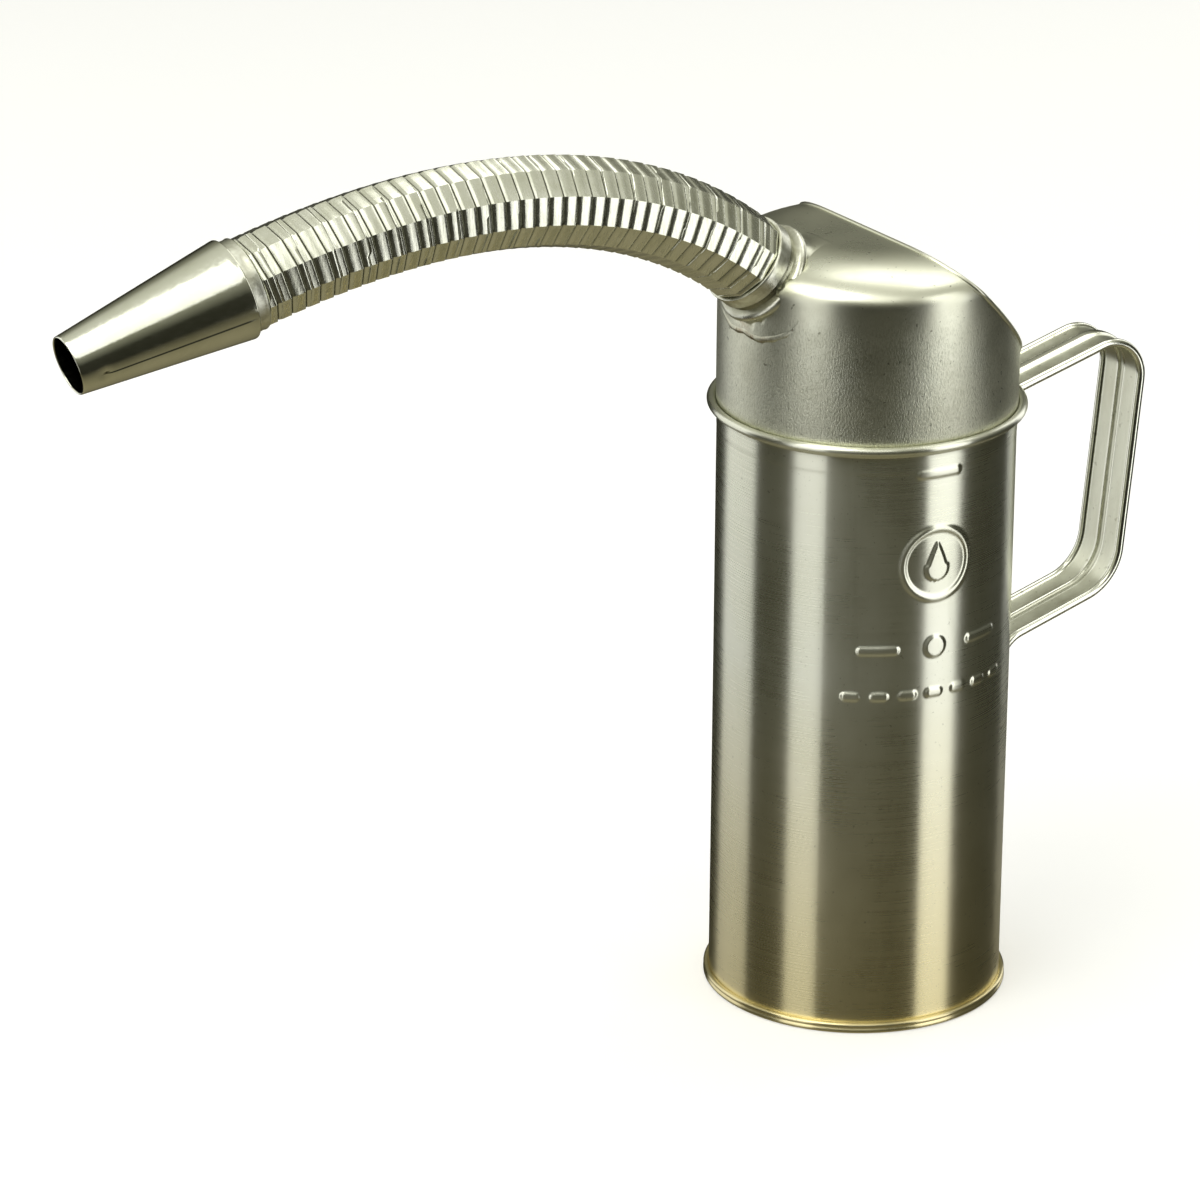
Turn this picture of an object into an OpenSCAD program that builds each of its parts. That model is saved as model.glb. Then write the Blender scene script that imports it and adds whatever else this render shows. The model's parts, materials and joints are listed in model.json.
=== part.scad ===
// Tinplate oil can: a measuring body, a hood that is open at the back for filling,
// a bendable strip-wound metal hose that ends in a cone, and a strap handle.
// Origin: centre of the base on the resting plane. +Z is up, the spout points to -X.

/* [Can body] */
// Outer diameter of the body's wall
can_d = 86; // [75:1:110]
// Height of the body's wall, from the resting plane to the rim bead
can_h = 178; // [150:1:260]
// Thickness of the body's and the hood's sheet
sheet = 0.5; // [0.4:0.05:0.8]
// Direction of the embossed marks, seen from above, 0 is the handle's side
mark_angle = -97; // [-130:1:-60]
// Direction of the soldered side seam
seam_angle = 30; // [25:1:80]

/* [Base] */
// How far the folded base seam stands out from the wall
base_seam_out = 1.6; // [1.2:0.1:2.5]
// Height of the folded base seam
base_seam_h = 3; // [2.4:0.1:5]

/* [Rim bead] */
// Radius of the curled bead's section
bead_r = 1.3; // [1.1:0.1:2]
// Radius of the wire inside the curl
rim_wire_r = 0.75; // [0.5:0.05:0.9]

/* [Hood] */
// How much further out the hood stands than the body's wall
hood_step = 0.3; // [0.2:0.1:1]
// Height of the hood's straight wall above the bead
hood_wall_h = 40; // [34:1:60]
// Height of the rounded crown above the straight wall
crown_h = 10.1; // [8:0.5:16]
// Width of the rounded shoulder, seen from above
shoulder_w = 23.4; // [16:0.5:28]
// Slope of the filling opening's edge
cut_angle = 43.5; // [38:0.5:48]
// Where the filling opening starts on the flat top
cut_x = -1.2; // [-4:0.2:6]
// Width of the folded hem along the opening's edge
hem_w = 2.2; // [1.5:0.1:3]
// Thickness that the hem adds
hem_t = 0.4; // [0.3:0.1:0.8]

/* [Neck] */
// Angle of the neck above the horizontal
neck_tilt = 39; // [34:1:46]
// How far the neck's mouth stands out from the hood's wall
neck_overhang = 1; // [0:0.2:4]
// How far the neck's mouth lies below the hood's flat top
neck_drop = 1; // [0:0.2:3]
// Outer radius of the neck's tube
neck_r = 12.6; // [12.4:0.1:13]
// Outer radius of the neck's bead
neck_bead_r = 15.3; // [14.5:0.1:16.5]

/* [Hose] */
// Length of the bendable hose
hose_len = 164; // [140:1:220]
// Number of links that the wound hose is divided into
link_count = 18; // [10:2:22]
// Corner radius of the ten-sided hose
hose_r = 13.3; // [13.2:0.1:15]
// Outer radius of each link's inner sleeve
sleeve_r = 11.1; // [10.4:0.05:11.2]
// Thickness of the sleeve's wall
sleeve_t = 0.5; // [0.5:0.05:0.9]
// Radial clearance between a sleeve and the link around it
sleeve_gap = 0.65; // [0.6:0.05:0.8]
// Axial gap between two links
link_gap = 1.8; // [1.7:0.1:2.4]
// Total downward bend of the hose as it stands
rest_bend = 55.6; // [40:0.5:58]
// Curvature at the nozzle as a share of the curvature at the neck
end_curve = 0.33; // [0.2:0.01:1]
// Total sideways bend of the hose as it stands
rest_sway = 4.7; // [0:0.1:10]

/* [Nozzle] */
// Length of the cone
cone_len = 50.7; // [40:1:80]
// Outer radius of the cone's wide end
cone_r = 14.3; // [14:0.1:16]
// Outer radius of the cone's tip
tip_r = 8.4; // [6:0.1:10]
// Length of the ring that shows between the hose and the cone
nozzle_ring_len = 2.8; // [2:0.1:6]

/* [Handle] */
// Width of the handle's strap
strap_w = 20; // [16:0.5:26]
// Thickness of the strap's sheet
strap_t = 0.8; // [0.6:0.1:1.2]
// Radius of the strap's rolled edges
strap_edge_r = 1.25; // [1:0.05:1.5]
// Distance from the body's wall to the lower end of the grip
grip_reach = 43.1; // [36:0.5:60]
// How far the grip leans out towards its top
grip_lean = 6.8; // [0:0.2:10]
// Height of the upper arm where it leaves the wall, below the wall's top
arm_drop = 2.6; // [2.4:0.2:10]
// Height of the lower arm where it leaves the wall
lower_arm_z = 97.7; // [60:1:120]
// Slope of the upper arm
upper_slope = 14; // [4:1:20]
// Slope of the lower arm
lower_slope = 15; // [4:1:25]

/* [Hidden] */
$fn = 96;
fine = 360;
tiny = 0.01;

// Body, base and rim
can_r = can_d / 2;
wall_in_r = can_r - sheet;
seam_floor_t = 0.6;
seam_round = 0.4;
base_seam_r = can_r + base_seam_out;
base_lip_t = 0.6;
panel_z = base_seam_h + 0.1;
solder_leg = 1.4;
seam_strip_w = 4.5;
seam_strip_t = 0.35;
seam_strip_z = base_seam_h + 1;
ledge_h = 1;

// Hood
fit_gap = 0.05;
seat_h = 0.3;
hood_r = can_r + hood_step;
rim_in_r = hood_r + fit_gap;
bead_mid_r = rim_in_r + bead_r;
hood_z = can_h + seat_h;
bead_z = hood_z + bead_r;
seat_top_z = can_h + 0.2;
seat_low_z = can_h - 0.8;
rim_top_z = bead_z + bead_r;
wall_top_z = rim_top_z + hood_wall_h;
hood_top_z = wall_top_z + crown_h;
shoulder_steps = 12;
far = 200;

// Neck: heights along its axis are counted from the mouth, inwards is negative
neck_mouth = [-(hood_r + neck_overhang), 0, hood_top_z - neck_drop];
neck_bore_r = sleeve_r + sleeve_gap;
neck_in = -17;
neck_ring_end = -6.6;
neck_bead_z = -9.4;
neck_bead_half = 1.7;
neck_ring_t = 0.8;
neck_clear = 0.1;
neck_chamfer = 1;
// The flare around the neck: pairs of radius and height, from the bead into the hood
flare_end_z = neck_in - 9;
flare_outline = [
    [neck_bead_r - 0.1, neck_bead_z - neck_bead_half],
    [neck_r + 3.7, neck_bead_z - neck_bead_half - 1.9],
    [neck_r + 4.6, neck_bead_z - neck_bead_half - 4.9],
    [neck_r + 4.8, flare_end_z]
];

// Hose
link_len = hose_len / link_count;
bore_r = sleeve_r - sleeve_t;
socket_r = sleeve_r + sleeve_gap;
sleeve_back = 2.2;
web_end = 3;
groove_w = 0.5;
groove_depth = 0.45;
hose_sides = 10;

// Nozzle: heights along its axis are counted from the end of the hose
nozzle_ring_r = cone_r - 1.1;
nozzle_ring_in = nozzle_ring_r - 1.3;
ring_tail = 4;
lip_h = 0.8;
lip_chamfer = 0.4;
nozzle_fillet_h = 3;

// Handle: the strap's centre line runs through these corners, from the lower foot up
pad_t = 0.3;
pad_depth = 5;
pad_margin = 1.5;
pad_h = 11;
pad_w = strap_w - 4 * strap_edge_r;
strap_x = can_r + pad_t + strap_t / 2;
foot_len = 18;
upper_arm_z = can_h - arm_drop;
grip_low_x = can_r + grip_reach;
grip_low_z = lower_arm_z + (grip_low_x - strap_x) * tan(lower_slope);
// The upper arm's line meets the leaning grip's line here
lean_rate = grip_lean / (upper_arm_z - grip_low_z);
grip_low_gap = upper_arm_z - grip_low_z;
arm_rise = tan(upper_slope);
grip_top_x = (grip_low_x + lean_rate * (grip_low_gap - strap_x * arm_rise)) / (1 - lean_rate * arm_rise);
grip_top_z = upper_arm_z + (grip_top_x - strap_x) * arm_rise;
strap_path = [
    [strap_x, lower_arm_z - foot_len],
    [strap_x, lower_arm_z],
    [grip_low_x, grip_low_z],
    [grip_top_x, grip_top_z],
    [strap_x, upper_arm_z],
    [strap_x, upper_arm_z - foot_len]
];
strap_bends = [0, 10, 15, 12, 4, 0];
leg_lap = 0.3;
leg_inset = 0.03;
edge_steps = 10;
edge_mid = strap_w / 2 - strap_edge_r;
rib_w = 4.4;
rib_top_w = 2.4;
rib_h = 0.8;
groove_foot_w = rib_w - 1.6;
groove_top_w = rib_top_w - 1;
groove_roof = rib_h - strap_t / 2;

// Embossed marks: heights above the resting plane and sizes on the wall
relief = 0.45;
fill_bar_z = 171.4;
fill_bar = [13.7, 2.2];
ring_mark_z = 144.2;
ring_mark_r = 11.3;
ring_mark_w = 1.7;
drop_r = 3.6;
drop_tip = 8;
ring_mark_drop = 1.5;
row_1_z = 119;
row_1_step = 17;
row_1_pill = [12, 2.4];
row_1_dot_r = 3.2;
row_2_z = 105;
row_2_step = 8.2;
row_2_pill = [5.2, 2.4];
row_2_count = 7;
marks_low_z = row_2_z - 10;

function two_digits(k) = str(k < 10 ? "0" : "", k);
function link_name(k) = str("hose_link_", two_digits(k));
link_names = [for (k = [1:link_count]) link_name(k)];

tin = "#c3c3a6";
tin_dark = "#a9aa8e";
tin_warm = "#cfc9a2";
solder_grey = "#8f9184";

// ---- shared shapes ----

// A tube with its foot at height z
module tube(r_out, r_in, z, h) {
    translate([0, 0, z])
        difference() {
            cylinder(r = r_out, h = h);
            translate([0, 0, -1]) cylinder(r = r_in, h = h + 2);
        }
}

// Direction of the hose at a share t of its length: it bends most near the neck
function hose_tilt(t) = neck_tilt - rest_bend * (t - (1 - end_curve) * t * t / 2) / ((1 + end_curve) / 2);
function link_tilt(k) = hose_tilt((k - 0.5) / link_count);
function link_turn(k) = rest_sway * (k - 0.5) / link_count;
function link_dir(k) = [
    -cos(link_tilt(k)) * cos(link_turn(k)),
    cos(link_tilt(k)) * sin(link_turn(k)),
    sin(link_tilt(k))
];
// The hinge point at the outer end of link k; number 0 is the neck's mouth
function hinge_at(k) = k == 0 ? neck_mouth : hinge_at(k - 1) + link_len * link_dir(k);

// Places a shape on link k: its Z axis runs along the hose from the link's inner hinge
module on_link(k) {
    translate(hinge_at(k - 1)) rotate([0, link_tilt(k) - 90, -link_turn(k)]) children();
}

module on_neck() {
    translate(neck_mouth) rotate([0, neck_tilt - 90, 0]) children();
}

module on_nozzle() {
    on_link(link_count) translate([0, 0, link_len]) children();
}

// ---- body ----

module mark_on_wall(turn, z) {
    rotate([0, 0, mark_angle + turn])
        translate([0, 0, z])
            rotate([90, 0, 90])
                linear_extrude(can_r + 1)
                    children();
}

module pill(w, h) {
    square([w - h, h], center = true);
    for (side = [-1, 1])
        translate([side * (w - h) / 2, 0]) circle(d = h);
}

module drop_outline() {
    circle(r = drop_r);
    // The flanks touch the circle where it falls away towards the tip
    flank = acos(drop_r / drop_tip);
    polygon([
        drop_r * [sin(flank), cos(flank)],
        [0, drop_tip],
        drop_r * [-sin(flank), cos(flank)]
    ]);
}

// Angle on the wall that an arc length covers
function wall_turn(arc) = arc / can_r * 180 / PI;

module embossed_marks() {
    intersection() {
        tube(can_r + relief, can_r - sheet / 2, marks_low_z, can_h - marks_low_z - ledge_h);
        union() {
            mark_on_wall(0, fill_bar_z) pill(fill_bar[0], fill_bar[1]);
            mark_on_wall(0, ring_mark_z)
                difference() {
                    circle(r = ring_mark_r);
                    circle(r = ring_mark_r - ring_mark_w);
                }
            mark_on_wall(0, ring_mark_z - ring_mark_drop) drop_outline();
            for (i = [-1, 1])
                mark_on_wall(wall_turn(i * row_1_step), row_1_z)
                    pill(row_1_pill[0], row_1_pill[1]);
            mark_on_wall(0, row_1_z) circle(r = row_1_dot_r);
            for (i = [0:row_2_count - 1])
                mark_on_wall(wall_turn((i - (row_2_count - 1) / 2) * row_2_step), row_2_z)
                    pill(row_2_pill[0], row_2_pill[1]);
        }
    }
}

module side_seam() {
    intersection() {
        tube(can_r + seam_strip_t, can_r - sheet / 2, seam_strip_z, can_h - seam_strip_z - 2 * ledge_h);
        rotate([0, 0, seam_angle])
            translate([0, -seam_strip_w / 2, 0]) cube([can_r + 1, seam_strip_w, can_h]);
    }
}

module body_shell() {
    color(tin) {
        difference() {
            union() {
                rotate_extrude()
                    polygon([
                        [wall_in_r, seam_floor_t],
                        [can_r, seam_floor_t],
                        [can_r, can_h - ledge_h],
                        [rim_in_r + sheet, can_h],
                        [rim_in_r + sheet, bead_z],
                        [rim_in_r, bead_z],
                        [rim_in_r, seat_top_z],
                        [wall_in_r, seat_low_z]
                    ]);
                rotate_extrude() translate([bead_mid_r, bead_z]) circle(r = bead_r);
                embossed_marks();
                side_seam();
            }
            rotate_extrude() translate([bead_mid_r, bead_z]) circle(r = rim_wire_r);
        }
    }
}

module base_disc() {
    lip_in_r = wall_in_r - base_lip_t;
    color(tin_dark)
        rotate_extrude()
            polygon([
                [0, panel_z],
                [lip_in_r, panel_z],
                [lip_in_r, seam_round],
                [lip_in_r + seam_round, 0],
                [base_seam_r - seam_round, 0],
                [base_seam_r, seam_round],
                [base_seam_r, base_seam_h - seam_round],
                [base_seam_r - seam_round, base_seam_h],
                [can_r, base_seam_h],
                [can_r, seam_floor_t],
                [wall_in_r, seam_floor_t],
                [wall_in_r, panel_z + sheet],
                [0, panel_z + sheet]
            ]);
}

module base_solder() {
    z = panel_z + sheet;
    color(solder_grey)
        rotate_extrude()
            polygon([[wall_in_r, z], [wall_in_r, z + solder_leg], [wall_in_r - solder_leg, z]]);
}

module rim_wire() {
    color(solder_grey)
        rotate_extrude() translate([bead_mid_r, bead_z]) circle(r = rim_wire_r);
}

// ---- hood ----

// The filled outer shape of the hood, grown by a wall thickness
module hood_solid(grow) {
    shoulder = [
        for (i = [0:shoulder_steps])
            let (a = 90 * i / shoulder_steps)
            [hood_r - shoulder_w + (shoulder_w + grow) * cos(a), wall_top_z + (crown_h + grow) * sin(a)]
    ];
    rotate_extrude()
        polygon(concat([[0, hood_z], [hood_r + grow, hood_z]], shoulder, [[0, hood_top_z + grow]]));
}

// Everything below the opening's sloping edge, down to a depth
module below_cut(depth) {
    translate([cut_x, 0, hood_top_z])
        rotate([0, cut_angle, 0])
            translate([-far / 2, -far / 2, -depth]) cube([far, far, depth]);
}

module neck_hole(r) {
    on_neck() translate([0, 0, 1.5 * neck_in]) cylinder(r = r, h = -2 * neck_in);
}

module hood_shell() {
    color(tin_dark)
        difference() {
            union() {
                intersection() {
                    hood_solid(0);
                    below_cut(far);
                }
                intersection() {
                    hood_solid(hem_t);
                    below_cut(hem_w);
                    translate([0, 0, rim_top_z + 1]) cylinder(r = far / 2, h = far);
                }
            }
            translate([0, 0, -tiny]) hood_solid(-sheet);
            neck_hole(neck_r + neck_clear);
            // Room for the neck's bead, which sinks into the shoulder on both sides
            on_neck()
                translate([0, 0, neck_bead_z - neck_bead_half - neck_clear])
                    cylinder(r = neck_bead_r + neck_clear, h = far / 2);
        }
}

// The fillet that joins the hood's lower edge to the inside of the rim
module hood_solder() {
    hood_in_r = hood_r - sheet;
    color(solder_grey)
        rotate_extrude()
            polygon([
                [wall_in_r, seat_low_z],
                [rim_in_r, seat_top_z],
                [rim_in_r, hood_z],
                [hood_in_r, hood_z],
                [hood_in_r, hood_z + solder_leg],
                [wall_in_r - sheet, seat_low_z]
            ]);
}

// ---- neck ----

module neck_collar() {
    color(tin)
        on_neck()
            difference() {
                union() {
                    translate([0, 0, neck_in])
                        cylinder(r = neck_r, h = -neck_in - link_gap / 2);
                    rotate_extrude()
                        polygon([
                            [neck_r - tiny, neck_bead_z - neck_bead_half],
                            [neck_bead_r - neck_chamfer, neck_bead_z - neck_bead_half],
                            [neck_bead_r, neck_bead_z - neck_bead_half + neck_chamfer],
                            [neck_bead_r, neck_bead_z + neck_bead_half - neck_chamfer],
                            [neck_bead_r - neck_chamfer, neck_bead_z + neck_bead_half],
                            [neck_r - tiny, neck_bead_z + neck_bead_half]
                        ]);
                }
                translate([0, 0, neck_in - 1]) cylinder(r = neck_bore_r, h = 2 - neck_in);
            }
}

module neck_ring() {
    color(tin_warm)
        on_neck()
            tube(neck_r + neck_ring_t, neck_r, neck_ring_end, -neck_ring_end - link_gap / 2);
}

// The flared fillet between the neck's bead and the hood
module neck_solder() {
    color(solder_grey)
        difference() {
            on_neck()
                difference() {
                    rotate_extrude()
                        polygon(concat([[0, flare_outline[0][1]]], flare_outline, [[0, flare_end_z]]));
                    translate([0, 0, flare_end_z - 1]) cylinder(r = neck_r, h = -flare_end_z);
                }
            hood_solid(0);
        }
}

// ---- hose ----

// One link: two turns of wound strip outside and a sleeve that reaches into the link before it
module hose_link(k) {
    shell_z = link_gap / 2;
    shell_h = link_len - link_gap;
    color(k % 2 == 0 ? tin : tin_warm)
        on_link(k)
            difference() {
                union() {
                    translate([0, 0, shell_z])
                        linear_extrude(shell_h) circle(r = hose_r, $fn = hose_sides);
                    translate([0, 0, -sleeve_back]) cylinder(r = sleeve_r, h = sleeve_back + web_end);
                }
                translate([0, 0, -link_len]) cylinder(r = bore_r, h = 3 * link_len);
                translate([0, 0, web_end]) cylinder(r = socket_r, h = link_len);
                translate([0, 0, (link_len - groove_w) / 2])
                    linear_extrude(groove_w)
                        difference() {
                            circle(r = hose_r + 1);
                            circle(r = hose_r - groove_depth, $fn = hose_sides);
                        }
            }
}

// ---- nozzle ----

module nozzle_ring() {
    ring_z = -link_gap / 2;
    color(tin_warm)
        on_nozzle()
            tube(nozzle_ring_r, nozzle_ring_in, ring_z, nozzle_ring_len + ring_tail - ring_z);
}

module nozzle_cone() {
    z0 = nozzle_ring_len;
    z1 = nozzle_ring_len + cone_len;
    color(tin)
        on_nozzle()
            rotate_extrude()
                polygon([
                    [nozzle_ring_r, z0],
                    [cone_r - lip_chamfer, z0],
                    [cone_r, z0 + lip_chamfer],
                    [cone_r, z0 + lip_h],
                    [tip_r, z1],
                    [tip_r - sheet, z1],
                    [cone_r - sheet, z0 + lip_h],
                    [nozzle_ring_r, z0 + lip_h]
                ]);
}

module nozzle_solder() {
    z0 = nozzle_ring_len + lip_h;
    color(solder_grey)
        on_nozzle()
            rotate_extrude()
                polygon([
                    [nozzle_ring_r, z0],
                    [cone_r - sheet, z0],
                    [nozzle_ring_r, z0 + nozzle_fillet_h]
                ]);
}

// ---- handle ----

// Points along a rolled edge; side is 1 or -1
function edge_arc(side, r, from, to) = [
    for (i = [0:edge_steps])
        let (a = from + (to - from) * i / edge_steps)
        [side * (edge_mid + r * cos(a)), r * sin(a)]
];

// Section of the strap: across its width, then outwards from the loop, thinned by an inset
module ribbed_section(inset) {
    r = strap_edge_r - inset;
    half_t = strap_t / 2 - inset;
    start = asin(half_t / r);
    polygon(concat(
        edge_arc(1, r, start - 180, 180 - start),
        [[rib_w / 2 - inset, half_t], [rib_top_w / 2 - inset, half_t + rib_h]],
        [[inset - rib_top_w / 2, half_t + rib_h], [inset - rib_w / 2, half_t]],
        edge_arc(-1, r, 180 - start, start - 180),
        [[-groove_foot_w / 2 - inset, -half_t], [-groove_top_w / 2 - inset, groove_roof + inset]],
        [[groove_top_w / 2 + inset, groove_roof + inset], [groove_foot_w / 2 + inset, -half_t]]
    ));
}

// The same section without its rib, for the foot that lies against the wall with its outer side
module plain_section(inset) {
    r = strap_edge_r - inset;
    half_t = strap_t / 2 - inset;
    start = asin(half_t / r);
    polygon(concat(edge_arc(1, r, start - 180, 180 - start), edge_arc(-1, r, 180 - start, start - 180)));
}

function leg_dir(p, i) = (p[i + 1] - p[i]) / norm(p[i + 1] - p[i]);
function heading(v) = atan2(v[1], v[0]);
// Signed turn at corner i, positive to the left
function turn_at(p, i) =
    let (a = leg_dir(p, i - 1), b = leg_dir(p, i))
    atan2(a[0] * b[1] - a[1] * b[0], a[0] * b[0] + a[1] * b[1]);
function trim_at(p, r, i) = (i <= 0 || i >= len(p) - 1) ? 0 : r[i] * tan(abs(turn_at(p, i)) / 2);

// A strip along corners in the XZ plane, rounded at each corner. The first child is the section
// of the bends and the second that of the legs, which is thinner and ends inside the bends.
// The third and fourth are those of the last bend and the last leg.
module bent_strip(p, r) {
    last = len(p) - 2;
    for (i = [0:last]) {
        d = leg_dir(p, i);
        inner = trim_at(p, r, i) - (i > 0 ? leg_lap : 0);
        outer = trim_at(p, r, i + 1) - (i < last ? leg_lap : 0);
        start = p[i] + inner * d;
        run = norm(p[i + 1] - p[i]) - inner - outer;
        translate([start[0], 0, start[1]])
            rotate([0, -heading(d), 0])
                rotate([90, 0, 90])
                    linear_extrude(run) mirror([0, 1, 0]) children(i == last ? 3 : 1);
    }
    for (i = [1:last]) {
        a = turn_at(p, i);
        d = leg_dir(p, i - 1);
        left = a > 0 ? 1 : -1;
        from = p[i] - trim_at(p, r, i) * d;
        centre = from + r[i] * left * [-d[1], d[0]];
        // Seen along -Y the arc starts at the point `from` and turns by a
        start_turn = heading((from - centre) / r[i]);
        translate([centre[0], 0, centre[1]])
            rotate([0, -(left > 0 ? start_turn : start_turn + a), 0])
                rotate([90, 0, 0])
                    rotate_extrude(angle = abs(a))
                        translate([r[i], 0])
                            mirror([1, -1, 0])
                                mirror([0, left > 0 ? 0 : 1, 0])
                                    children(i == last ? 2 : 0);
    }
}

module handle_strap() {
    color(tin)
        bent_strip(strap_path, strap_bends) {
            ribbed_section(0);
            ribbed_section(leg_inset);
            plain_section(0);
            plain_section(leg_inset);
        }
}

// Solder between a foot's flat inner face and the curved wall
module handle_pad(foot_end_z) {
    color(solder_grey)
        difference() {
            translate([can_r - pad_depth, -pad_w / 2, foot_end_z - pad_margin])
                cube([pad_depth + pad_t, pad_w, pad_h]);
            cylinder(r = can_r, h = can_h, $fn = fine);
        }
}

module handle_solder_lower() {
    handle_pad(lower_arm_z - foot_len);
}

module handle_solder_upper() {
    handle_pad(upper_arm_z - foot_len);
}

body_shell();
base_disc();
base_solder();
rim_wire();
hood_shell();
hood_solder();
neck_collar();
neck_ring();
neck_solder();
for (k = [1:link_count])
    hose_link(k);
nozzle_ring();
nozzle_cone();
nozzle_solder();
handle_strap();
handle_solder_lower();
handle_solder_upper();
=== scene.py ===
"""The looks of a tinplate measuring oil can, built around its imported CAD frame.

The can is a wall with embossed marks, a base, a drawn hood with a flared neck, a wound strip
hose that bends, a cone nozzle and a strap handle. Lengths are in millimetres here and are
turned into metres when a mesh is made; angles are in degrees.
"""

import json
import math

import bmesh
import bpy
import numpy as np
from mathutils import Matrix, Vector


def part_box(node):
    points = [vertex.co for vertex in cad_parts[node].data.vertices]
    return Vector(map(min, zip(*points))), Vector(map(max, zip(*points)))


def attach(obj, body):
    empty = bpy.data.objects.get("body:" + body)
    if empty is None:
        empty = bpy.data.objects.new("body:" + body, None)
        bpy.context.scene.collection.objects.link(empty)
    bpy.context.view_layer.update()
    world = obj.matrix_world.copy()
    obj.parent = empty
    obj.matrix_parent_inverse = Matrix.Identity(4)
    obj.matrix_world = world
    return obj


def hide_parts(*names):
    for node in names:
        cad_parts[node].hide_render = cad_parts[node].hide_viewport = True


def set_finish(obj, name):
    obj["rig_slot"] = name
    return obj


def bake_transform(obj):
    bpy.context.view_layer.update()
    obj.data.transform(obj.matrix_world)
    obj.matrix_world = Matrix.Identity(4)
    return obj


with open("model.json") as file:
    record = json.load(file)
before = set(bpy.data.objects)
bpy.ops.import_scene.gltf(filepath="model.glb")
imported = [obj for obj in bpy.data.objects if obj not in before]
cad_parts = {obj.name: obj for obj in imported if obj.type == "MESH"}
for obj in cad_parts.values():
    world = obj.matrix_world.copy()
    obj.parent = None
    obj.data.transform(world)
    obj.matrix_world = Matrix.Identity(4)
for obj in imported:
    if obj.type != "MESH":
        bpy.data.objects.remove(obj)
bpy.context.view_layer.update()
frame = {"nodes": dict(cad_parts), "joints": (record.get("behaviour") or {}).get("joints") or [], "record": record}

MM = 0.001
NODES = frame["nodes"]
LINKS = [name for name in sorted(NODES) if name.startswith("hose_link_")]
LINK_BODIES = [name.replace("hose_link", "link") for name in LINKS]


def corners(node):
    """Lowest and highest corner of a CAD node, in millimetres."""
    low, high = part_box(node)
    return np.array(low) / MM, np.array(high) / MM


# ---- sizes taken from the frame ----

SHEET = 0.5
BASE_SEAM_R = corners("base_disc")[1][0]
CAN_R = BASE_SEAM_R - 1.6
BEAD_R = 1.3
HOOD_R = CAN_R + 0.3
HOOD_FOOT_Z = corners("hood_shell")[0][2]
CAN_TOP_Z = HOOD_FOOT_Z - 0.3
BEAD_Z = HOOD_FOOT_Z + BEAD_R
RIM_IN_R = HOOD_R + 0.05
WALL_TOP_Z = BEAD_Z + BEAD_R + 40
CROWN_H = 10.1
HOOD_TOP_Z = WALL_TOP_Z + CROWN_H
SHOULDER_W = 23.4
CUT_X = -1.2
CUT_ANGLE = 43.5
NECK_TILT = 39.0
NECK_R = 12.6
NECK_BEAD_R = 15.3
NECK_BEAD_AT = -9.4
NECK_BEAD_HALF = 1.7
SEAM_ANGLE = 30.0

# The embossed marks: middle's direction, half width, height of relief, and heights above the base
MARK_ANGLE = -97.0
MARKS_HALF_W = 33
EMBOSS = 0.45
MARKS_LOW_Z, MARKS_HIGH_Z = 98, 175
FILL_BAR_Z, RING_Z, DROP_Z, DASH_Z, BARS_Z = 171.4, 144.2, 142.7, 119, 105
BAR_STEP = 8.2

JOINTS = {j["child"]: j for j in frame["joints"]}
HINGES = [np.array(JOINTS[body]["pos_m"]) / MM for body in LINK_BODIES]
MOUTH = HINGES[0]
LINK_LEN = float(np.linalg.norm(HINGES[2] - HINGES[1]))
TIP_MOUNT = next(m for m in frame["record"]["mounts"] if m["name"] == "nozzle_tip")
NOZZLE_DIR = np.array(TIP_MOUNT["axis"], float)
HOSE_END = HINGES[-1] + LINK_LEN * NOZZLE_DIR
NOZZLE_LEN = float(np.linalg.norm(np.array(TIP_MOUNT["pos_m"]) / MM - HOSE_END))
HINGES.append(HOSE_END)
HOSE_LEN = LINK_LEN * len(LINKS)


# ---- mesh helpers ----

WELD_M = 1e-6


def unit(v):
    return v / np.linalg.norm(v)


def place(name, data):
    """Puts a new object with its data in the scene."""
    obj = bpy.data.objects.new(name, data)
    bpy.context.scene.collection.objects.link(obj)
    return obj


def make_object(name, verts, faces, slot, sharp=40.0):
    """A mesh object from points in millimetres, smooth but for edges sharper than an angle."""
    mesh = bpy.data.meshes.new(name)
    mesh.from_pydata((np.asarray(verts, float) * MM).tolist(), [], faces)
    mesh.validate()
    mesh.shade_smooth()
    if sharp:
        mesh.set_sharp_from_angle(angle=math.radians(sharp))
    obj = place(name, mesh)
    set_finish(obj, slot)
    return obj


def point_value(obj, name, values):
    """Stores one number per vertex, for the material to read."""
    layer = obj.data.attributes.new(name, "FLOAT", "POINT")
    layer.data.foreach_set("value", np.asarray(values, np.float32))


def grid_faces(rows, cols, close_rows=False, close_cols=False):
    """Four-sided faces between rows of points, closed into a ring either way if asked."""
    faces = []
    for i in range(rows if close_rows else rows - 1):
        for j in range(cols if close_cols else cols - 1):
            a, b = i * cols + j, i * cols + (j + 1) % cols
            c, d = ((i + 1) % rows) * cols + (j + 1) % cols, ((i + 1) % rows) * cols + j
            faces.append((a, b, c, d))
    return faces


def face_outwards(obj):
    """Turns every face of a closed mesh outwards."""
    bm = bmesh.new()
    bm.from_mesh(obj.data)
    bmesh.ops.recalc_face_normals(bm, faces=bm.faces)
    bm.to_mesh(obj.data)
    bm.free()


def axes_for(direction):
    """Two unit vectors square to a direction: sideways towards +Y, and upwards."""
    side = unit(np.cross(direction, [0, 0, 1]))
    if side[1] < 0:
        side = -side
    up = unit(np.cross(side, direction))
    return (side, up) if up[2] > 0 else (side, -up)


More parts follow.
